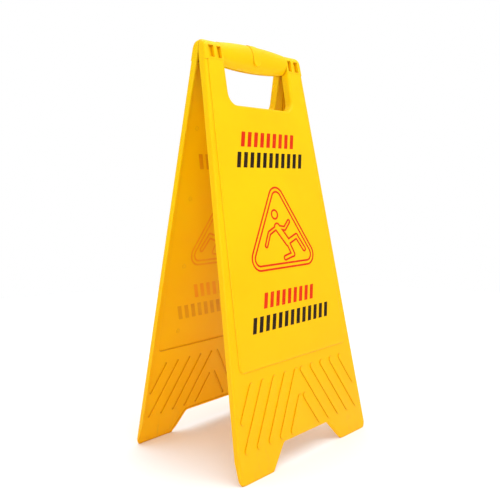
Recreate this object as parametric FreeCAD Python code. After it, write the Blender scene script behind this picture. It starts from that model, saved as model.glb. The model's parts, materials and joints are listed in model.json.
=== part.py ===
import FreeCAD, Part
import math
import os

# Wet floor sign: two equal moulded trays hinged on a round carrying bar.
# Millimetres. +Z up, +X across the sign, the front panel leans towards -Y.
# The origin lies on the floor under the hinge axis.
#
# Each panel is modelled in its own frame and placed afterwards:
# x across, y outwards from the fold plane, z up from the hinge axis.

Vector = FreeCAD.Vector
ACROSS = Vector(1, 0, 0)
OUTWARD = Vector(0, 1, 0)
UP = Vector(0, 0, 1)
MIDDLE = Vector(0, 0, 0)

# Whole sign
AXIS_TO_SOLE = 600.0      # down the face from the hinge axis to the sole
HALF_WIDTH_AXIS = 107.0
HALF_WIDTH_SOLE = 150.0
TILT = 9.7                # degrees each panel leans when the sign stands open
FACE = 12.0               # outer face above the fold plane
SHEET = 2.5
REACH = 1000.0            # longer than anything, for cutting blocks
BITE = 0.5                # overlap where two shapes are fused
SPARE = 1.0               # run past an edge that is cut away afterwards
NEAR = 0.01

# Edge flange, its depth behind the face and how far down it changes
HEAD_TO = 20.0            # the flange is full depth beside the head
FLANGE_TOP = 10.8
FLANGE_TOP_FROM = 60.0
FLANGE_LOW = 8.5
FLANGE_AT_SOLE = 3.0
SOLE_TAPER_FROM = 566.0
SOLE_TAPER_TO = 596.0
FLANGE_BEND = 15.0
RIM = 4.0                 # depth of the rim round the feet
RIM_FROM = 526.0
RIM_TO_SIDE = 4.0         # the sides keep their full depth this far in
FACE_ROUND = 3.0

# Feet
NOTCH_HEIGHT = 33.0
NOTCH_HALF_TOP = 52.0
NOTCH_HALF_SOLE = 80.0
TOE_ROUND = 12.0
NOTCH_ROUND = 8.0
SOLE_ALLOWANCE = 2.5      # left on, then cut flat on the floor

# Raised field that carries the print
FIELD_HEIGHT = 2.0
FIELD_TOP = 17.0
FIELD_BOTTOM = 455.0
FIELD_HALF_TOP = 103.4
FIELD_HALF_BOTTOM = 124.5
FIELD_CORNER = 8.0
FIELD_EDGE_ROUND = 2.4

# Hand opening
OPENING_HALF = 71.0
OPENING_BOTTOM = 78.5
OPENING_CORNER = 17.0
OPENING_LIP = 4.5         # rounding where the face turns into the opening

# Head: cheeks and bar, both deeper than they are thick
CHEEK_DEPTH = 13.0        # front of a cheek above the fold plane
CHEEK_RISE = 14.2         # top of a cheek above the hinge axis
HEAD_CORNER = 10.0
HEAD_ROUND = 2.5
BAR_DROP = 1.2            # middle of the bar below the hinge axis
BAR_MID = (14.0, 20.6)    # half depth and half height of the bar
BAR_END = (13.2, 16.2)
SEAM_GAP = 0.15           # each panel stays this far off the fold plane
STOP_GAP = 0.4            # and this far off the stop plane
TONGUE_WIDTH = 15.0
TONGUE_PROUD = 0.8
TONGUE_DROP = 8.0         # centre of its round end below the axis

# Cored pockets in the cheeks, measured across from the middle
POCKETS = ((74.5, 83.0), (89.0, 99.5))
POCKET_TOP = 4.2
POCKET_BOTTOM = -13.2
POCKET_FLOOR = 7.6        # above the fold plane
POCKET_WALL = 1.5
CAVITY_DEPTH = 6.1        # room for the hinge behind the pockets

# Hinge
LUG_RADIUS = 5.6
LUG_WEB = (-4.0, 4.0)     # lower and upper edge of the web to the cheek
SINGLE_LUG = ((84.0, 88.0),)
DOUBLE_LUG = ((78.0, 82.0), (90.0, 94.0))
PIN_RADIUS = 3.0
PIN_CLEARANCE = 0.05
PIN_INNER_END = 77.0
PIN_SHOULDER = 94.4
PIN_OUTER_END = 97.0
PIN_HEAD_RADIUS = 4.5

# Slanted grip ribs on the skirt
RIB_TOP = 474.5
RIB_BOTTOM = 557.0
RIB_LEAN = 0.6            # sideways run for each millimetre down
RIB_PITCH = 24.5
RIB_FIRST = 7.0
RIB_WIDTH = 8.0
RIB_HEIGHT = 1.5
RIB_RECESS_WIDTH = 4.5
RIB_EDGE_MARGIN = 16.0
RIB_CENTRE_MARGIN = 6.0
RIB_SHORTEST = 16.0

# Print: rows of slanted bars, (from, to, half width, bar count)
PRINT_THICK = 0.2
ROWS = {
    "upper_red": (117.5, 139.5, 62.0, 9),
    "upper_black": (147.5, 170.0, 76.0, 11),
    "lower_red": (352.0, 374.0, 60.0, 9),
    "lower_black": (384.0, 406.0, 90.0, 13),
}
BAR_FILL = 0.55           # share of each pitch that is inked
BAR_SLANT = 6.0

# Pictogram
TRIANGLE_APEX = 182.0
TRIANGLE_BASE = 321.5
TRIANGLE_HALF = 86.0
TRIANGLE_ROUND = 18.0
LINE = 2.7
LINE_SPACE = 3.7
HEAD_ACROSS = 9.0
HEAD_DOWN = 240.0
HEAD_RADIUS = 8.0


def half_width(down):
    """Half width of the panel this far below the hinge axis."""
    slope = (HALF_WIDTH_SOLE - HALF_WIDTH_AXIS) / AXIS_TO_SOLE
    return HALF_WIDTH_AXIS + slope * down


def in_face(y):
    """Places (across, down) points in a plane parallel to the face."""
    return lambda across, down: Vector(across, y, -down)


def from_side(x):
    """Places (outward, down) points in a plane square to the axis."""
    return lambda outward, down: Vector(x, outward, -down)


def rounded_wire(corners, place):
    """Closed wire through (a, b, radius) corners, each corner an arc."""
    edges = []
    joints = []
    count = len(corners)
    for index in range(count):
        a, b, radius = corners[index]
        before = corners[index - 1]
        after = corners[(index + 1) % count]
        here = Vector(a, b, 0)
        back = (Vector(before[0], before[1], 0) - here).normalize()
        ahead = (Vector(after[0], after[1], 0) - here).normalize()
        if radius == 0:
            joints.append((here, here, here))
            continue
        half_angle = back.getAngle(ahead) / 2
        tangent = radius / math.tan(half_angle)
        bisector = (back + ahead).normalize()
        to_centre = radius / math.sin(half_angle)
        middle = here + bisector * (to_centre - radius)
        joints.append((here + back * tangent, middle, here + ahead * tangent))
    for index in range(count):
        start, middle, end = joints[index]
        if start != end:
            points = [place(p.x, p.y) for p in (start, middle, end)]
            edges.append(Part.Arc(*points).toShape())
        following = joints[(index + 1) % count][0]
        edges.append(Part.makeLine(place(end.x, end.y), place(following.x, following.y)))
    return Part.Wire(edges)


def plate(corners, low, high):
    """Solid with this outline in the face plane, between two heights."""
    wire = rounded_wire(corners, in_face(low))
    return Part.Face(wire).extrude(OUTWARD * (high - low))


def block(x_range, y_range, z_range):
    size = [end - start for start, end in (x_range, y_range, z_range)]
    corner = Vector(x_range[0], y_range[0], z_range[0])
    return Part.makeBox(size[0], size[1], size[2], corner)


def disc(radius, start, end):
    """Cylinder on the hinge axis between two places across."""
    return Part.makeCylinder(radius, end - start, Vector(start, 0, 0), ACROSS)


def both_sides(shape):
    """The shape and its mirror image across the middle of the panel."""
    return shape.fuse(shape.mirror(MIDDLE, ACROSS))


def edges_at(shape, y):
    """Edges that lie wholly at one height above the fold plane."""
    found = []
    for edge in shape.Edges:
        span = edge.BoundBox
        if abs(span.YMin - y) < NEAR and abs(span.YMax - y) < NEAR:
            found.append(edge)
    return found


# ---- outlines -------------------------------------------------------------

def tray_corners(inset):
    """Panel outline from the hinge axis to the toes, moved in by inset."""
    lean = math.atan2(HALF_WIDTH_SOLE - HALF_WIDTH_AXIS, AXIS_TO_SOLE)
    sole = AXIS_TO_SOLE + SOLE_ALLOWANCE - inset
    edge = inset / math.cos(lean)
    notch = AXIS_TO_SOLE - NOTCH_HEIGHT - inset
    flare = (NOTCH_HALF_SOLE - NOTCH_HALF_TOP) / NOTCH_HEIGHT
    notch_shift = inset * (math.sqrt(1 + flare ** 2) - flare)
    notch_top = NOTCH_HALF_TOP + notch_shift
    notch_sole = notch_top + flare * (sole - notch)
    outer_round = TOE_ROUND - inset
    inner_round = NOTCH_ROUND + inset
    right = [
        (half_width(sole) - edge, sole, outer_round),
        (notch_sole, sole, outer_round),
        (notch_top, notch, inner_round),
    ]
    left = [(-across, down, radius) for across, down, radius in reversed(right)]
    top = half_width(0) - edge
    return [(top, 0, 0)] + right + left + [(-top, 0, 0)]


def field_corners(start, inset):
    """Outline of the raised field, from its upper end down."""
    spread = (FIELD_HALF_BOTTOM - FIELD_HALF_TOP) / (FIELD_BOTTOM - FIELD_TOP)
    top = FIELD_HALF_TOP + spread * (start - FIELD_TOP) - inset
    bottom = FIELD_HALF_BOTTOM - inset
    end = FIELD_BOTTOM - inset
    corner = FIELD_CORNER - inset
    return [
        (top, start, 0),
        (bottom, end, corner),
        (-bottom, end, corner),
        (-top, start, 0),
    ]


def opening_corners(grow):
    half = OPENING_HALF + grow
    bottom = OPENING_BOTTOM + grow
    corner = OPENING_CORNER + grow
    return [
        (half, -2 * SPARE, 0),
        (half, bottom, corner),
        (-half, bottom, corner),
        (-half, -2 * SPARE, 0),
    ]


# ---- tray -----------------------------------------------------------------

def flange_trim():
    """What lies below the edge of the flange, but not the opening's wall."""
    top = FACE - FLANGE_TOP
    low = FACE - FLANGE_LOW
    at_sole = FACE - FLANGE_AT_SOLE
    end = AXIS_TO_SOLE + 2 * SOLE_ALLOWANCE
    corners = [
        (0, HEAD_TO, 0),
        (top, FLANGE_TOP_FROM, FLANGE_BEND),
        (low, SOLE_TAPER_FROM, FLANGE_BEND),
        (at_sole, SOLE_TAPER_TO, 0),
        (at_sole, end, 0),
        (-REACH, end, 0),
        (-REACH, HEAD_TO, 0),
    ]
    side = Part.Face(rounded_wire(corners, from_side(-REACH)))
    trim = side.extrude(ACROSS * (2 * REACH))
    return trim.cut(plate(opening_corners(SHEET), -REACH, REACH))


def rim_trim():
    """Inside the tray the rim round the feet is lower than the sides."""
    top = half_width(RIM_FROM) - RIM_TO_SIDE
    bottom = half_width(REACH) - RIM_TO_SIDE
    corners = [
        (top, RIM_FROM, 0),
        (bottom, REACH, 0),
        (-bottom, REACH, 0),
        (-top, RIM_FROM, 0),
    ]
    return plate(corners, -REACH, FACE - RIM)


def tray_outside():
    tray = plate(tray_corners(0), 0, FACE)
    return tray.makeFillet(FACE_ROUND, outline_edges(tray, FACE))


def outline_edges(tray, y):
    """The face edges of the tray, without the one on the hinge axis."""
    return [edge for edge in edges_at(tray, y) if edge.BoundBox.ZMin < -SPARE]


def raised_field():
    """The field, run up to the hinge axis until the opening has its lip."""
    surface = FACE + FIELD_HEIGHT
    field = plate(field_corners(-SPARE, 0), FACE - BITE, surface)
    return field.makeFillet(FIELD_EDGE_ROUND, edges_at(field, surface))


def lip_edges(shape, y):
    """Edges of the hand opening that lie in one face."""
    found = []
    for edge in edges_at(shape, y):
        middle = edge.valueAt((edge.FirstParameter + edge.LastParameter) / 2)
        beside = abs(middle.x) < OPENING_HALF + NEAR
        below_axis = -OPENING_BOTTOM - NEAR < middle.z < -SPARE
        if beside and below_axis:
            found.append(edge)
    return found


def face_with_opening():
    """Tray and raised field with the hand opening and its rounded lip."""
    face = tray_outside().fuse(raised_field()).removeSplitter()
    face = face.cut(plate(opening_corners(0), -REACH, REACH))
    face = face.makeFillet(OPENING_LIP, lip_edges(face, FACE + FIELD_HEIGHT))
    above_field = block((-REACH, REACH), (FACE, REACH), (-FIELD_TOP, REACH))
    return face.cut(above_field)


def rib_lines():
    """Start and end points of the ribs on the right half."""
    lines = []
    for number in range(-2, 6):
        top_across = RIB_FIRST + number * RIB_PITCH
        start = max(RIB_TOP, RIB_TOP + (RIB_CENTRE_MARGIN - top_across) / RIB_LEAN)
        end = RIB_BOTTOM
        limit = half_width(RIB_BOTTOM) - RIB_EDGE_MARGIN
        if top_across + RIB_LEAN * (end - RIB_TOP) > limit:
            end = RIB_TOP + (limit - top_across) / RIB_LEAN
        if end - start < RIB_SHORTEST:
            continue
        first = (top_across + RIB_LEAN * (start - RIB_TOP), start)
        last = (top_across + RIB_LEAN * (end - RIB_TOP), end)
        lines.append((first, last))
    return lines


def capsule(first, last, width, low, high):
    """Round-ended bar lying in the face plane."""
    reach = math.hypot(last[0] - first[0], last[1] - first[1])
    radius = width / 2
    step = Vector(last[0] - first[0], 0, first[1] - last[1])
    bar = Part.makeBox(reach, high - low, width, Vector(0, 0, -radius))
    for end in (0, reach):
        bar = bar.fuse(Part.makeCylinder(radius, high - low, Vector(end, 0, 0), OUTWARD))
    bar = bar.removeSplitter()
    bar.Placement = FreeCAD.Placement(
        Vector(first[0], low, -first[1]), FreeCAD.Rotation(ACROSS, step))
    return bar


def ribs(width, low, high):
    bars = [capsule(first, last, width, low, high) for first, last in rib_lines()]
    return both_sides(Part.makeCompound(bars))


# ---- head -----------------------------------------------------------------

def head_block(inset):
    """Both cheeks: round on top, square down to the raised field."""
    depth = CHEEK_DEPTH - inset
    rise = CHEEK_RISE - inset
    bottom = FIELD_TOP
    middle = Vector(-REACH, 0, 0)
    oval = Part.Ellipse(Vector(-REACH, 0, rise), Vector(-REACH, depth, 0), middle)
    side = Part.Face(Part.Wire([
        Part.makeLine(Vector(-REACH, 0, rise), Vector(-REACH, 0, -bottom)),
        Part.makeLine(Vector(-REACH, 0, -bottom), Vector(-REACH, depth, -bottom)),
        Part.makeLine(Vector(-REACH, depth, -bottom), Vector(-REACH, depth, 0)),
        Part.ArcOfEllipse(oval, 0, math.pi / 2).toShape(),
    ])).extrude(ACROSS * (2 * REACH))
    top = inset - CHEEK_RISE - SPARE
    corners = [
        (half_width(top) - inset, top, HEAD_CORNER),
        (half_width(bottom) - inset, bottom, 0),
        (-half_width(bottom) + inset, bottom, 0),
        (-half_width(top) + inset, top, HEAD_CORNER),
    ]
    front = plate(corners, -SPARE, REACH)
    between = OPENING_HALF + inset
    gap = block((-between, between), (-2 * SPARE, REACH), (-REACH, REACH))
    return side.common(front).cut(gap)


def head_outside():
    """The cheeks with the edges of their outer ends rounded."""
    head = head_block(0)
    ends = []
    for edge in head.Edges:
        middle = edge.valueAt((edge.FirstParameter + edge.LastParameter) / 2)
        outer = abs(middle.x) > half_width(0) - HEAD_CORNER - SPARE
        if outer and middle.y > BITE and middle.z > -FIELD_TOP + BITE:
            ends.append(edge)
    return head.makeFillet(HEAD_ROUND, ends)


def oval_wire(across, depth, rise):
    middle = Vector(across, 0, -BAR_DROP)
    oval = Part.Ellipse(middle + UP * rise, middle + OUTWARD * depth, middle)
    return Part.Wire([oval.toShape()])


def bar_round(inset, half_length):
    """Crowned oval bar, thicker in the middle."""
    end = [size - inset for size in BAR_END]
    middle = [size - inset for size in BAR_MID]
    return Part.makeLoft([
        oval_wire(-half_length, *end),
        oval_wire(0, *middle),
        oval_wire(half_length, *end),
    ], True)


def tongue():
    """Strap over the middle of the bar: it follows the bar, then hangs straight."""
    radius = TONGUE_WIDTH / 2
    outline = plate([
        (radius, -REACH, 0),
        (radius, TONGUE_DROP, 0),
        (-radius, TONGUE_DROP, 0),
        (-radius, -REACH, 0),
    ], 0, REACH)
    end = Part.makeCylinder(radius, REACH, Vector(0, 0, -TONGUE_DROP), OUTWARD)
    front = (0, BAR_MID[0] + TONGUE_PROUD)
    straight = block((-radius, radius), front, (-REACH, -BAR_DROP))
    over_bar = bar_round(-TONGUE_PROUD, OPENING_HALF)
    return over_bar.fuse(straight).common(outline.fuse(end))


def own_side():
    """The space a panel may fill: off the fold plane and the stop plane."""
    lean = math.radians(TILT)
    corner_down = (STOP_GAP - SEAM_GAP * math.cos(lean)) / math.sin(lean)
    top_outward = (STOP_GAP + math.sin(lean) * REACH) / math.cos(lean)
    corners = [
        (SEAM_GAP, corner_down, 0),
        (SEAM_GAP, REACH, 0),
        (REACH, REACH, 0),
        (REACH, -REACH, 0),
        (top_outward, -REACH, 0),
    ]
    side = Part.Face(rounded_wire(corners, from_side(-REACH)))
    return side.extrude(ACROSS * (2 * REACH))


def pockets():
    cuts = []
    for start, end in POCKETS:
        cuts.append(block((start, end), (POCKET_FLOOR, REACH), (POCKET_BOTTOM, POCKET_TOP)))
    return both_sides(Part.makeCompound(cuts))


def pocket_backing():
    """Plastic left behind and round the pockets when the cheek is hollowed."""
    across = (OPENING_HALF, POCKETS[-1][1] + POCKET_WALL)
    upright = (POCKET_BOTTOM - POCKET_WALL, POCKET_TOP + POCKET_WALL)
    return both_sides(block(across, (CAVITY_DEPTH, REACH), upright))


def lugs():
    """Hinge eyes: one on the right, two on the left, tied to the cheek."""
    shapes = []
    right = [(start, end) for start, end in SINGLE_LUG]
    left = [(-end, -start) for start, end in DOUBLE_LUG]
    for start, end in right + left:
        eye = disc(LUG_RADIUS, start, end)
        shapes.append(eye.fuse(block((start, end), (0, POCKET_FLOOR), LUG_WEB)))
    return shapes


def pin_bore():
    radius = PIN_RADIUS + PIN_CLEARANCE
    return both_sides(disc(radius, PIN_INNER_END, PIN_OUTER_END))


# ---- one panel ------------------------------------------------------------

def panel():
    outside = face_with_opening()
    outside = outside.fuse(ribs(RIB_WIDTH, FACE - BITE, FACE + RIB_HEIGHT))
    outside = outside.fuse(head_outside())

    well = plate(tray_corners(SHEET), -REACH, FACE - SHEET)
    recess = plate(field_corners(FIELD_TOP + SHEET, SHEET), 0, FACE + FIELD_HEIGHT - SHEET)
    inside = well.fuse(recess)
    inside = inside.fuse(ribs(RIB_RECESS_WIDTH, 0, FACE + RIB_HEIGHT - SHEET))
    inside = inside.cut(plate(opening_corners(SHEET), -REACH, REACH))
    inside = inside.fuse(head_block(SHEET)).cut(pocket_backing())

    shell = outside.cut(inside).cut(flange_trim()).cut(rim_trim())
    shell = shell.cut(plate(opening_corners(0), -REACH, REACH))
    shell = shell.cut(pockets())

    bar = bar_round(0, OPENING_HALF + SPARE).fuse(tongue())
    bar = bar.cut(bar_round(SHEET, OPENING_HALF))
    shell = shell.fuse(bar).common(own_side())
    shell = shell.fuse(lugs()).cut(pin_bore())
    return shell.removeSplitter()


def hinge_pin():
    shank = disc(PIN_RADIUS, PIN_INNER_END, PIN_SHOULDER)
    head = disc(PIN_HEAD_RADIUS, PIN_SHOULDER, PIN_OUTER_END)
    return shank.fuse(head).removeSplitter()


# ---- print ----------------------------------------------------------------

def ink(corners):
    """Flat patch of print, drawn as it is read from outside the sign."""
    surface = FACE + FIELD_HEIGHT
    seen = [(-across, down, radius) for across, down, radius in corners]
    return plate(seen, surface, surface + PRINT_THICK)


def slanted_row(top, bottom, half, count):
    """One row of equal slanted bars, centred on the panel."""
    pitch = (2 * half - BAR_SLANT) / (count - 1 + BAR_FILL)
    width = pitch * BAR_FILL
    bars = []
    for number in range(count):
        left = -half + number * pitch
        bars.append(ink([
            (left + BAR_SLANT, top, 0),
            (left + BAR_SLANT + width, top, 0),
            (left + width, bottom, 0),
            (left, bottom, 0),
        ]))
    return Part.makeCompound(bars)


def triangle(inset):
    """Rounded triangle with every side moved in by inset."""
    rise = TRIANGLE_BASE - TRIANGLE_APEX
    side = math.hypot(TRIANGLE_HALF, rise)
    apex = TRIANGLE_APEX + inset * side / TRIANGLE_HALF
    base = TRIANGLE_BASE - inset
    half = (base - apex) * TRIANGLE_HALF / rise
    corner = TRIANGLE_ROUND - inset
    return ink([(0, apex, corner), (half, base, corner), (-half, base, corner)])


def figure(line):
    """A person slipping: round head, body and limbs as round-ended bars."""
    surface = FACE + FIELD_HEIGHT
    shoulder = (-7, 259)
    hip = (13, 283)
    limbs = (
        (shoulder, hip, 14),
        (hip, (35, 275), 10),
        ((35, 275), (50, 296), 9),
        (hip, (22, 302), 10),
        ((22, 302), (3, 306), 9),
        (shoulder, (-26, 267), 8),
        ((-26, 267), (-36, 285), 8),
        (shoulder, (10, 262), 8),
        ((10, 262), (21, 252), 8),
    )
    shape = None
    for first, last, width in limbs:
        start = (-first[0], first[1])
        end = (-last[0], last[1])
        limb = capsule(start, end, width - line, surface, surface + PRINT_THICK)
        shape = limb if shape is None else shape.fuse(limb)
    return shape.removeSplitter()


def head_ring():
    surface = FACE + FIELD_HEIGHT
    centre = Vector(HEAD_ACROSS, surface, -HEAD_DOWN)
    outer = Part.makeCylinder(HEAD_RADIUS, PRINT_THICK, centre, OUTWARD)
    inner = Part.makeCylinder(HEAD_RADIUS - LINE, PRINT_THICK, centre, OUTWARD)
    return outer.cut(inner)


def pictogram():
    second = LINE + LINE_SPACE
    shapes = [
        triangle(0).cut(triangle(LINE)),
        triangle(second).cut(triangle(second + LINE)),
        figure(0).cut(figure(2 * LINE)),
        head_ring(),
    ]
    return Part.makeCompound(shapes)


# ---- assembly -------------------------------------------------------------

def stand(shape):
    """Lean a part of the rear panel into the open sign and lift it."""
    lean = math.radians(TILT)
    axis_height = AXIS_TO_SOLE * math.cos(lean) - FACE * math.sin(lean)
    placed = shape.copy()
    placed.rotate(MIDDLE, ACROSS, TILT)
    placed.translate(UP * axis_height)
    return placed


def turned(shape):
    """The same part on the front panel, half a turn round."""
    placed = shape.copy()
    placed.rotate(MIDDLE, UP, 180)
    return placed


def on_floor(shape):
    floor_cut = block((-REACH, REACH), (-REACH, REACH), (-REACH, 0))
    return shape.cut(floor_cut)


def export(name, shape):
    shape.exportStep("parts/" + name + ".step")


def main():
    os.makedirs("parts", exist_ok=True)
    rear = on_floor(stand(panel()))
    export("rear_panel", rear)
    export("front_panel", turned(rear))

    pin = stand(hinge_pin())
    export("hinge_pin_right", pin)
    export("hinge_pin_left", turned(pin))

    prints = {"pictogram": pictogram()}
    for name, (top, bottom, half, count) in ROWS.items():
        prints[name] = slanted_row(top, bottom, half, count)
    for name, shape in prints.items():
        rear_print = stand(shape)
        export("rear_print_" + name, rear_print)
        export("front_print_" + name, turned(rear_print))


main()
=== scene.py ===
import json
import math

import bpy
from mathutils import Matrix, Vector

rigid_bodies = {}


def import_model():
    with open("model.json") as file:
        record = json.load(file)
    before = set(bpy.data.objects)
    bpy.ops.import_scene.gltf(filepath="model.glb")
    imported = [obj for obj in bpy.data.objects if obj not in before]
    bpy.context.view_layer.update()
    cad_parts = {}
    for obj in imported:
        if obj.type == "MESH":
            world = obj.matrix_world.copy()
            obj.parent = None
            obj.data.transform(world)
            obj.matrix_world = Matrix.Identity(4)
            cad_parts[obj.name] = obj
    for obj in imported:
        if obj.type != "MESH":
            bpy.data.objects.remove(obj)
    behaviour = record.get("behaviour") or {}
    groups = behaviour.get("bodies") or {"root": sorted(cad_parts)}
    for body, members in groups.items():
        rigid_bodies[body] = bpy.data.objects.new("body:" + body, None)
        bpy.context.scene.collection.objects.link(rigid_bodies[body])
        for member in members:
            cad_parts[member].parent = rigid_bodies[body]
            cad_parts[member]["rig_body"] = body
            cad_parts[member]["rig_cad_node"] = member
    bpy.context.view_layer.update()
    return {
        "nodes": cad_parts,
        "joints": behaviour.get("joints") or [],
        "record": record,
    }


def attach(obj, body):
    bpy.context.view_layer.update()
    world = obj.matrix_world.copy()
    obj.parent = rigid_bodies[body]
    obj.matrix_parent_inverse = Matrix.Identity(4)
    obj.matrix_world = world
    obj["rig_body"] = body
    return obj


# Wet floor sign: satin moulded polypropylene with screen-printed faces.
# Metres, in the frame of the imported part: +Z up, the front panel leans towards -Y.

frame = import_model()
nodes = frame["nodes"]
scene = bpy.context.scene

MM = 0.001
HINGE_HEIGHT = frame["joints"][0]["pos_m"][2]
LEAN = math.radians(9.7)          # of each panel, off the vertical
FIELD_BACK = 11.5 * MM            # inner side of the raised field, off the fold plane
SHEET = 2.5 * MM
INK = 0.2 * MM
SUNK = 0.2 * MM                   # how far a moulding mark is let into the sheet
TOUCHING = 0.01 * MM              # points closer than this count as one
PANELS = {"front": math.pi, "rear": 0.0}      # how far each is turned about +Z

# Colours, linear
YELLOW = (1.0, 0.62, 0.0, 1.0)
YELLOW_DEEP = (0.98, 0.57, 0.0, 1.0)
YELLOW_SHADED_LOW = (0.97, 0.47, 0.0, 1.0)
YELLOW_RUBBED = (1.0, 0.68, 0.08, 1.0)
# print seen through the sheet, partly painted shadow of the ink
RED_PRINT_AND_SHADOW = (0.92, 0.28, 0.0, 1.0)
BLACK_PRINT_AND_SHADOW = (0.70, 0.27, 0.0, 1.0)
# painted shade in creases and corners
CREASE_SHADE_COLOUR = (0.62, 0.25, 0.0, 1.0)
FLOOR_GRIME = (0.42, 0.25, 0.05, 1.0)
PIN_ORANGE = (0.72, 0.33, 0.0, 1.0)
PIN_SHADE = (0.55, 0.24, 0.0, 1.0)
RED_INK = (0.72, 0.018, 0.001, 1.0)
RED_INK_THIN = (0.78, 0.040, 0.002, 1.0)
BLACK_INK = (0.012, 0.006, 0.003, 1.0)
BLACK_INK_THIN = (0.032, 0.015, 0.005, 1.0)
FLOOR_WHITE = (0.99, 0.99, 0.99, 1.0)
FLOOR_PALE = (0.975, 0.975, 0.975, 1.0)
WHITE = (1.0, 1.0, 1.0, 1.0)

# Gloss and inner glow
PLASTIC_IOR = 1.49
INK_IOR = 1.46
SHEET_GLOSS = 0.14
INK_GLOSS = 0.15
PINHOLES = 0.6                    # share of the sheet's colour seen in one
GLOW = 0.25                       # share of the light that goes into the sheet
GLOW_REACH = (1.0, 0.45, 0.05)    # of red, green and blue, in sheet thicknesses

# Painted shade low down and in creases, and wear and dirt on the sheet
# painted shade: the yellow deepens towards the feet
LOW_SHADE_AMOUNT = 0.85
LOW_SHADE_HEIGHT = 450 * MM            # the yellow is deeper below this
WEAR = 0.55
WORN_EDGE = 1.2 * MM
# painted shade in the creases: how strong it is, and how far it reaches
CREASE_SHADE_AMOUNT = 0.70
CREASE_SHADE_REACH = 4.0 * MM
GRIME = 0.35
GRIME_HEIGHT = 85 * MM
WORN_ROUGHNESS = 0.25
SCUFF_ROUGHNESS = 0.10

# Textures, in steps for each metre; three numbers where they are stretched
CLOUDS = 7.0
FLOW_WAVES = 14.0
GLOSS_PATCHES = 18.0
WORN_PATCHES = 60.0
SMEARS = (90, 90, 22)
SCUFFS = (40, 40, 500)
GRAIN = 1500.0
PIN_PATCHES = 260.0
PIN_GRAIN = 2500.0
INK_COVER = 45.0
INK_GLOSS_PATCHES = 120.0
INK_PINHOLES = 700.0
INK_MESH = 2200.0
PRINT_SHADOW_CLOUDS = 30.0
FLOOR_CLOUDS = 3.0

# How deep the textures are
GRAIN_DEPTH = 0.06 * MM
SCUFF_DEPTH = 0.03 * MM
FLOW_DEPTH = 1.2 * MM
PIN_GRAIN_DEPTH = 0.04 * MM
INK_MESH_DEPTH = 0.03 * MM


# ---- node helpers -----------------------------------------------------------

class Finish:
    """One material: its principled shader, and short ways to add nodes."""

    def __init__(self, name):
        self.material = bpy.data.materials.new(name)
        self.material.use_nodes = True
        self.tree = self.material.node_tree
        self.shader = self.tree.nodes["Principled BSDF"]
        self.place = self.tree.nodes.new("ShaderNodeTexCoord").outputs["Object"]

    def link(self, output, target):
        self.tree.links.new(output, target)

    def node(self, kind, **settings):
        made = self.tree.nodes.new(kind)
        for key, value in settings.items():
            setattr(made, key, value)
        return made

    def height(self):
        """Height above the floor."""
        split = self.node("ShaderNodeSeparateXYZ")
        self.link(self.place, split.inputs["Vector"])
        return split.outputs["Z"]

    def stretched(self, scale):
        """The object's own coordinates, scaled differently each way."""
        mapping = self.node("ShaderNodeMapping")
        mapping.inputs["Scale"].default_value = scale
        self.link(self.place, mapping.inputs["Vector"])
        return mapping.outputs["Vector"]

    def noise(self, scale, detail=2.0, roughness=0.5, where=None):
        made = self.node("ShaderNodeTexNoise")
        made.inputs["Scale"].default_value = scale
        made.inputs["Detail"].default_value = detail
        made.inputs["Roughness"].default_value = roughness
        self.link(where or self.place, made.inputs["Vector"])
        return made.outputs["Fac"]

    def between(self, value, low, high, to_low=0.0, to_high=1.0):
        """Maps low..high onto to_low..to_high, smoothly and clamped."""
        made = self.node("ShaderNodeMapRange", interpolation_type="SMOOTHSTEP")
        made.inputs["From Min"].default_value = low
        made.inputs["From Max"].default_value = high
        made.inputs["To Min"].default_value = to_low
        made.inputs["To Max"].default_value = to_high
        self.link(value, made.inputs["Value"])
        return made.outputs["Result"]

    def maths(self, operation, first, second):
        made = self.node("ShaderNodeMath", operation=operation)
        for socket, value in zip(made.inputs, (first, second)):
            if isinstance(value, (int, float)):
                socket.default_value = value
            else:
                self.link(value, socket)
        return made.outputs["Value"]

    def times(self, first, second):
        return self.maths("MULTIPLY", first, second)

    def mixed(self, factor, first, second):
        """Colour that goes from first to second with the factor."""
        made = self.node("ShaderNodeMix", data_type="RGBA")
        self.link(factor, made.inputs["Factor"])
        colours = [socket for socket in made.inputs if socket.type == "RGBA"]
        for socket, value in zip(colours, (first, second)):
            if isinstance(value, tuple):
                socket.default_value = value
            else:
                self.link(value, socket)
        return [socket for socket in made.outputs if socket.type == "RGBA"][0]

    def bump(self, height, distance, strength, under=None):
        made = self.node("ShaderNodeBump")
        made.inputs["Strength"].default_value = strength
        made.inputs["Distance"].default_value = distance
        self.link(height, made.inputs["Height"])
        if under is not None:
            self.link(under, made.inputs["Normal"])
        return made.outputs["Normal"]

    def edges(self, radius):
        """Zero on flat faces, growing to about 0.3 on a square edge."""
        rounded = self.node("ShaderNodeBevel", samples=4)
        rounded.inputs["Radius"].default_value = radius
        plain = self.node("ShaderNodeNewGeometry")
        dot = self.node("ShaderNodeVectorMath", operation="DOT_PRODUCT")
        self.link(rounded.outputs["Normal"], dot.inputs[0])
        self.link(plain.outputs["Normal"], dot.inputs[1])
        return self.maths("SUBTRACT", 1.0, dot.outputs["Value"])

    def creases(self, distance):
        """Zero on open faces, growing towards one deep in a tight corner."""
        shelter = self.node("ShaderNodeAmbientOcclusion", samples=6)
        shelter.inputs["Distance"].default_value = distance
        return self.maths("SUBTRACT", 1.0, shelter.outputs["AO"])


# ---- yellow sheet -----------------------------------------------------------

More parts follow.
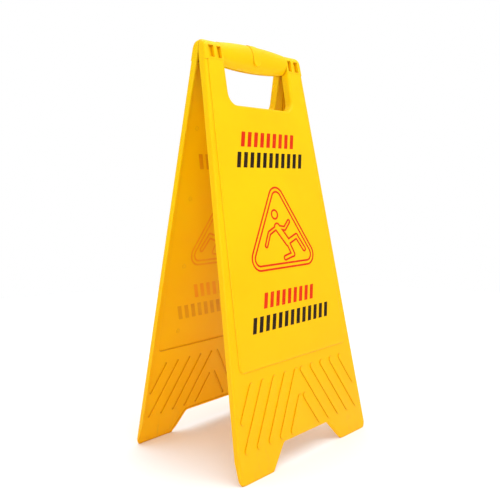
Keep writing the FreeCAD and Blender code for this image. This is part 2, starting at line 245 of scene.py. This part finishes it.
def yellow_with_painted_low_shade(made):
    """Slightly cloudy yellow, with painted shade that deepens it towards the feet."""
    cloudy = made.between(made.noise(CLOUDS, detail=3.0), low=0.3, high=0.7)
    colour = made.mixed(cloudy, YELLOW, YELLOW_DEEP)
    # painted shade: darker, deeper yellow towards the feet
    low_down = made.between(made.height(), low=0.0, high=LOW_SHADE_HEIGHT, to_low=LOW_SHADE_AMOUNT, to_high=0.0)
    return made.mixed(low_down, colour, YELLOW_SHADED_LOW)


def edge_wear(made):
    """How rubbed the sharp edges are, in patches."""
    patches = made.noise(WORN_PATCHES, detail=5.0, roughness=0.65)
    patchy = made.between(patches, low=0.42, high=0.62)
    on_edges = made.between(made.edges(WORN_EDGE), low=0.05, high=0.30)
    return made.times(made.times(on_edges, patchy), WEAR)


def painted_crease_shade(made):
    """How much painted shade darkens the tight corners and creases."""
    sheltered = made.between(made.creases(CREASE_SHADE_REACH), low=0.08, high=0.50)
    return made.times(sheltered, CREASE_SHADE_AMOUNT)


def low_grime(made):
    """Smears that run up from the floor."""
    smears = made.noise(1.0, detail=6.0, roughness=0.7, where=made.stretched(SMEARS))
    smeared = made.between(smears, low=0.50, high=0.78)
    low_down = made.between(made.height(), low=0.0, high=GRIME_HEIGHT, to_low=1.0, to_high=0.0)
    return made.times(made.times(smeared, low_down), GRIME)


def sheet_roughness(made, scuffed, worn):
    """Satin, duller where the sheet is scuffed or worn."""
    patches = made.noise(GLOSS_PATCHES, detail=4.0)
    rough = made.between(patches, low=0.3, high=0.7, to_low=0.34, to_high=0.44)
    rough = made.maths("ADD", rough, made.times(scuffed, SCUFF_ROUGHNESS))
    return made.maths("ADD", rough, made.times(worn, WORN_ROUGHNESS))


def sheet_relief(made, scuffed):
    """Flow waves from moulding, then scuffs, then fine grain on top."""
    relief = made.bump(made.noise(FLOW_WAVES, detail=1.0), FLOW_DEPTH, strength=0.30)
    relief = made.bump(scuffed, SCUFF_DEPTH, strength=0.25, under=relief)
    return made.bump(made.noise(GRAIN), GRAIN_DEPTH, strength=0.35, under=relief)


def yellow_plastic():
    """Thin moulded sheet: satin grain, flow waves, rubbed edges, painted shade low down and in
    creases, grime low down.
    """
    made = Finish("yellow_polypropylene")
    shader = made.shader
    shader.inputs["IOR"].default_value = PLASTIC_IOR
    shader.inputs["Specular IOR Level"].default_value = SHEET_GLOSS
    shader.inputs["Subsurface Weight"].default_value = GLOW
    shader.inputs["Subsurface Radius"].default_value = GLOW_REACH
    shader.inputs["Subsurface Scale"].default_value = SHEET

    worn = edge_wear(made)
    colour = made.mixed(worn, yellow_with_painted_low_shade(made), YELLOW_RUBBED)
    # painted shade in the creases and corners
    colour = made.mixed(painted_crease_shade(made), colour, CREASE_SHADE_COLOUR)
    colour = made.mixed(low_grime(made), colour, FLOOR_GRIME)
    made.link(colour, shader.inputs["Base Color"])

    scuffs = made.noise(1.0, detail=4.0, roughness=0.6, where=made.stretched(SCUFFS))
    scuffed = made.between(scuffs, low=0.60, high=0.72)
    made.link(sheet_roughness(made, scuffed, worn), shader.inputs["Roughness"])
    made.link(sheet_relief(made, scuffed), shader.inputs["Normal"])
    return made.material


# ---- pins, ink and the print seen from behind, with its painted shadow ------

def pin_plastic():
    """Unpainted pin moulding, darker and a little greasy."""
    made = Finish("hinge_pin_plastic")
    shader = made.shader
    shader.inputs["IOR"].default_value = PLASTIC_IOR
    patches = made.between(made.noise(PIN_PATCHES, detail=3.0), low=0.35, high=0.65)
    made.link(made.mixed(patches, PIN_ORANGE, PIN_SHADE), shader.inputs["Base Color"])
    rough = made.between(patches, low=0.0, high=1.0, to_low=0.30, to_high=0.45)
    made.link(rough, shader.inputs["Roughness"])
    relief = made.bump(made.noise(PIN_GRAIN), PIN_GRAIN_DEPTH, strength=0.4)
    made.link(relief, shader.inputs["Normal"])
    return made.material


def screen_ink(name, full, thin, rough_low, rough_high):
    """Screen-printed ink: uneven cover, fine mesh texture, small pinholes."""
    made = Finish(name)
    shader = made.shader
    shader.inputs["IOR"].default_value = INK_IOR
    shader.inputs["Specular IOR Level"].default_value = INK_GLOSS
    cover = made.noise(INK_COVER, detail=4.0, roughness=0.6)
    colour = made.mixed(made.between(cover, low=0.35, high=0.70), full, thin)
    pinholes = made.between(made.noise(INK_PINHOLES, detail=1.0), low=0.70, high=0.78)
    colour = made.mixed(made.times(pinholes, PINHOLES), colour, YELLOW_DEEP)
    made.link(colour, shader.inputs["Base Color"])
    patches = made.noise(INK_GLOSS_PATCHES)
    rough = made.between(patches, low=0.3, high=0.7, to_low=rough_low, to_high=rough_high)
    made.link(rough, shader.inputs["Roughness"])
    relief = made.bump(made.noise(INK_MESH, detail=1.0), INK_MESH_DEPTH, strength=0.35)
    made.link(relief, shader.inputs["Normal"])
    return made.material


def print_with_painted_shadow(name, colour):
    """Print faintly seen from behind through the thin yellow sheet, partly painted shadow of the
    ink blocking light that passes through.
    """
    made = Finish(name)
    shader = made.shader
    shader.inputs["Specular IOR Level"].default_value = SHEET_GLOSS
    clouds = made.noise(PRINT_SHADOW_CLOUDS, detail=4.0, roughness=0.6)
    cloudy = made.between(clouds, low=0.25, high=0.75, to_low=0.1, to_high=0.5)
    made.link(made.mixed(cloudy, colour, YELLOW_DEEP), shader.inputs["Base Color"])
    rough = made.between(cloudy, low=0.0, high=1.0, to_low=0.36, to_high=0.44)
    made.link(rough, shader.inputs["Roughness"])
    relief = made.bump(made.noise(GRAIN), GRAIN_DEPTH, strength=0.35)
    made.link(relief, shader.inputs["Normal"])
    return made.material


def finish_frame():
    """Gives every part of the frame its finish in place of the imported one."""
    finishes = {
        "yellow_plastic": yellow_plastic(),
        "pin_plastic": pin_plastic(),
        "red_ink": screen_ink(
            "red_screen_ink", RED_INK, RED_INK_THIN, rough_low=0.42, rough_high=0.55),
        "black_ink": screen_ink(
            "black_screen_ink", BLACK_INK, BLACK_INK_THIN, rough_low=0.40, rough_high=0.52),
    }
    slots = {part["node"]: part["material_slot"] for part in frame["record"]["subparts"]}
    for name, node in nodes.items():
        finish = finishes[slots[name]]
        for slot in node.material_slots:
            slot.material = finish
    return finishes


# ---- making and placing pieces ----------------------------------------------

def copied(piece, name):
    """A copy with a mesh of its own."""
    twin = piece.copy()
    twin.data = piece.data.copy()
    twin.name = name
    twin.data.name = name
    scene.collection.objects.link(twin)
    return twin


def merge_corners(piece):
    """Joins the loose triangles of a piece where their corners meet."""
    bpy.ops.object.select_all(action="DESELECT")
    piece.select_set(True)
    bpy.context.view_layer.objects.active = piece
    bpy.ops.object.mode_set(mode="EDIT")
    bpy.ops.mesh.select_all(action="SELECT")
    bpy.ops.mesh.remove_doubles(threshold=TOUCHING)
    bpy.ops.object.mode_set(mode="OBJECT")


def upright_disc(vertices, radius, thick):
    """A new disc on the origin, left in edit mode with only its top face selected."""
    bpy.ops.object.select_all(action="DESELECT")
    bpy.ops.mesh.primitive_cylinder_add(
        vertices=vertices, radius=radius, depth=thick, location=(0, 0, thick / 2))
    piece = bpy.context.object
    bpy.ops.object.transform_apply(location=True, rotation=True, scale=True)
    bpy.ops.object.mode_set(mode="EDIT")
    bpy.ops.mesh.select_all(action="DESELECT")
    bpy.ops.object.mode_set(mode="OBJECT")
    top = max(face.center.z for face in piece.data.polygons)
    for face in piece.data.polygons:
        face.select = face.center.z > top - TOUCHING
    bpy.ops.object.mode_set(mode="EDIT")
    bpy.ops.mesh.select_mode(type="FACE")
    return piece


def on_inner_side(piece, across, down, turn):
    """Moves a piece modelled at the origin onto a panel's inner side, +Z out of the sheet."""
    lying = Matrix.Rotation(math.pi / 2, 4, "X")
    shift = Matrix.Translation(Vector((across, FIELD_BACK + SUNK, -down)))
    leaning = Matrix.Rotation(LEAN, 4, "X")
    up = Matrix.Translation(Vector((0, 0, HINGE_HEIGHT)))
    round_up = Matrix.Rotation(turn, 4, "Z")
    piece.data.transform(round_up @ up @ leaning @ shift @ lying)


# ---- print seen from behind, with its painted shadow ------------------------

def print_and_shadow_from_behind():
    """Copies each patch of print to the inner side of its panel, nearly flush, as print and
    painted shadow seen through the sheet.
    """
    finishes = {
        "red_ink": print_with_painted_shadow("red_print_and_painted_shadow", RED_PRINT_AND_SHADOW),
        "black_ink": print_with_painted_shadow("black_print_and_painted_shadow", BLACK_PRINT_AND_SHADOW),
    }
    depth = SHEET + INK / 2
    for part in frame["record"]["subparts"]:
        body, _, patch = part["node"].partition("_print_")
        if not patch:
            continue
        seen = copied(nodes[part["node"]], f"{body}_seen_through_{patch}")
        merge_corners(seen)
        outward = Vector((0, math.cos(LEAN), math.sin(LEAN)))
        outward.rotate(Matrix.Rotation(PANELS[body], 3, "Z"))
        seen.data.transform(Matrix.Translation(-outward * depth))
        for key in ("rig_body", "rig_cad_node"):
            del seen[key]
        seen.parent = None
        seen.data.materials.clear()
        seen.data.materials.append(finishes[part["material_slot"]])
        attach(seen, body)


# ---- moulding marks inside the panels ---------------------------------------

EJECTOR_RADIUS = 3.2 * MM
EJECTOR_PROUD = 0.3 * MM
EJECTOR_RIM = 0.5 * MM
EJECTOR_SLOPE = 0.6 * MM          # width of the slope up to the middle
EJECTOR_DISH = 0.8                # depth inside the rim, as a share of its height
EJECTOR_SWELL = 0.2               # rise of the middle, likewise
EJECTOR_ROWS = (110 * MM, 215 * MM, 320 * MM, 425 * MM)   # down from the hinge axis
EJECTOR_ACROSS = 84 * MM

GATE_DOWN = 258 * MM
DOME_RADIUS = 6 * MM
DOME_EDGE = 0.6 * MM
DOME_SLOPE = 1.0 * MM             # width of the slope round the dome
DOME_RISE = 0.25 * MM
DOME_TOP = 2.6 * MM               # width of the flat ring round the sprue
SPRUE_RISE = 1.4 * MM
SPRUE_TAPER = 0.8
SPRUE_RIM = 0.6 * MM
SPRUE_DIMPLE = 0.3 * MM


def ejector_mark():
    """Shallow ring left by an ejector pin."""
    piece = upright_disc(vertices=48, radius=EJECTOR_RADIUS, thick=SUNK + EJECTOR_PROUD)
    bpy.ops.mesh.inset(thickness=EJECTOR_RIM)
    bpy.ops.mesh.extrude_region_move(
        TRANSFORM_OT_translate={"value": (0, 0, -EJECTOR_PROUD * EJECTOR_DISH)})
    bpy.ops.mesh.inset(thickness=EJECTOR_SLOPE)
    bpy.ops.transform.translate(value=(0, 0, EJECTOR_PROUD * EJECTOR_SWELL))
    bpy.ops.object.mode_set(mode="OBJECT")
    return piece


def gate_nub():
    """Snapped-off sprue in the middle of the sheet, with its cold-slug dome."""
    piece = upright_disc(vertices=40, radius=DOME_RADIUS, thick=DOME_EDGE)
    bpy.ops.mesh.inset(thickness=DOME_SLOPE)
    bpy.ops.transform.translate(value=(0, 0, DOME_RISE))
    bpy.ops.mesh.inset(thickness=DOME_TOP)
    bpy.ops.mesh.extrude_region_move(TRANSFORM_OT_translate={"value": (0, 0, SPRUE_RISE)})
    bpy.ops.transform.resize(value=(SPRUE_TAPER, SPRUE_TAPER, 1.0))
    bpy.ops.mesh.inset(thickness=SPRUE_RIM)
    bpy.ops.transform.translate(value=(0, 0, -SPRUE_DIMPLE))
    bpy.ops.object.mode_set(mode="OBJECT")
    return piece


def moulding_marks(finish):
    """Eight ejector marks and one gate nub on the inner side of each panel."""
    pin_mark = ejector_mark()
    nub = gate_nub()
    for model in (pin_mark, nub):
        model.data.materials.clear()
        model.data.materials.append(finish)
        for polygon in model.data.polygons:
            polygon.use_smooth = False
    for body, turn in PANELS.items():
        for row, down in enumerate(EJECTOR_ROWS):
            for side, across in (("left", -EJECTOR_ACROSS), ("right", EJECTOR_ACROSS)):
                mark = copied(pin_mark, f"{body}_ejector_mark_{side}_{row + 1}")
                on_inner_side(mark, across, down, turn)
                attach(mark, body)
        gate = copied(nub, f"{body}_gate_nub")
        on_inner_side(gate, 0.0, GATE_DOWN, turn)
        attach(gate, body)
    for model in (pin_mark, nub):
        bpy.data.objects.remove(model)


# ---- floor and light --------------------------------------------------------

FLOOR_RADIUS = 1.6
FLOOR_DROP = 0.2 * MM             # keeps the floor just clear of the feet
FLOOR_ROUGHNESS = 0.8
ROOM_LIGHT = 0.52
LIGHTS = {
    "key": {"place": (0.35, -1.3, 1.65), "aim": (0, 0, 0.40), "size": 1.0, "power": 4.8},
    "side": {"place": (-1.3, -1.3, 0.55), "aim": (-0.05, 0.05, 0.30), "size": 1.0, "power": 7.5},
    "overhead": {"place": (0, 0, 3.2), "aim": (0, 0, 0), "size": 5.0, "power": 107},
}


def pale_floor():
    bpy.ops.mesh.primitive_circle_add(
        vertices=96, radius=FLOOR_RADIUS, fill_type="NGON", location=(0, 0, -FLOOR_DROP))
    floor = bpy.context.object
    floor.name = "floor"
    made = Finish("pale_floor")
    soft = made.between(made.noise(FLOOR_CLOUDS, detail=3.0), low=0.3, high=0.7)
    made.link(made.mixed(soft, FLOOR_WHITE, FLOOR_PALE), made.shader.inputs["Base Color"])
    made.shader.inputs["Roughness"].default_value = FLOOR_ROUGHNESS
    floor.data.materials.append(made.material)


def area_light(name, place, aim, size, power):
    light = bpy.data.lights.new(name, "AREA")
    light.shape = "DISK"
    light.size = size
    light.energy = power
    lamp = bpy.data.objects.new(name, light)
    lamp.location = place
    lamp.rotation_euler = (Vector(aim) - Vector(place)).to_track_quat("-Z", "Y").to_euler()
    scene.collection.objects.link(lamp)


def white_room():
    """Soft light from all round, with a backdrop that stays pure white."""
    world = bpy.data.worlds.new("white_room")
    scene.world = world
    world.use_nodes = True
    tree = world.node_tree
    room = tree.nodes["Background"]
    room.inputs["Color"].default_value = WHITE
    room.inputs["Strength"].default_value = ROOM_LIGHT
    backdrop = tree.nodes.new("ShaderNodeBackground")
    backdrop.inputs["Color"].default_value = WHITE
    paths = tree.nodes.new("ShaderNodeLightPath")
    either = tree.nodes.new("ShaderNodeMixShader")
    output = tree.nodes["World Output"]
    tree.links.new(paths.outputs["Is Camera Ray"], either.inputs["Fac"])
    tree.links.new(room.outputs["Background"], either.inputs[1])
    tree.links.new(backdrop.outputs["Background"], either.inputs[2])
    tree.links.new(either.outputs["Shader"], output.inputs["Surface"])


def studio_light():
    white_room()
    for name, settings in LIGHTS.items():
        area_light(name, **settings)
    scene.view_settings.view_transform = "Standard"


# ---- camera -----------------------------------------------------------------

CAMERA_PLACE = (-0.7458, -0.6831, 0.3962)
CAMERA_YAW = math.radians(47.33)      # from +Y towards +X
CAMERA_PITCH = math.radians(-5.53)
CAMERA_ROLL = math.radians(-0.67)
CAMERA_LENS = 46.84                   # millimetres, as is the width of the sensor
CAMERA_SENSOR = 36.0


def camera():
    yaw, pitch, roll = CAMERA_YAW, CAMERA_PITCH, CAMERA_ROLL
    ahead = Vector((
        math.sin(yaw) * math.cos(pitch), math.cos(yaw) * math.cos(pitch), math.sin(pitch)))
    level = Vector((math.cos(yaw), -math.sin(yaw), 0))
    above = level.cross(ahead)
    right = level * math.cos(roll) + above * math.sin(roll)
    up = above * math.cos(roll) - level * math.sin(roll)
    turned = Matrix((right, up, -ahead)).transposed().to_4x4()
    lens = bpy.data.cameras.new("camera")
    lens.lens = CAMERA_LENS
    lens.sensor_width = CAMERA_SENSOR
    made = bpy.data.objects.new("camera", lens)
    made.matrix_world = Matrix.Translation(CAMERA_PLACE) @ turned
    scene.collection.objects.link(made)
    scene.camera = made


finishes = finish_frame()
print_and_shadow_from_behind()
moulding_marks(finishes["yellow_plastic"])
pale_floor()
studio_light()
camera()
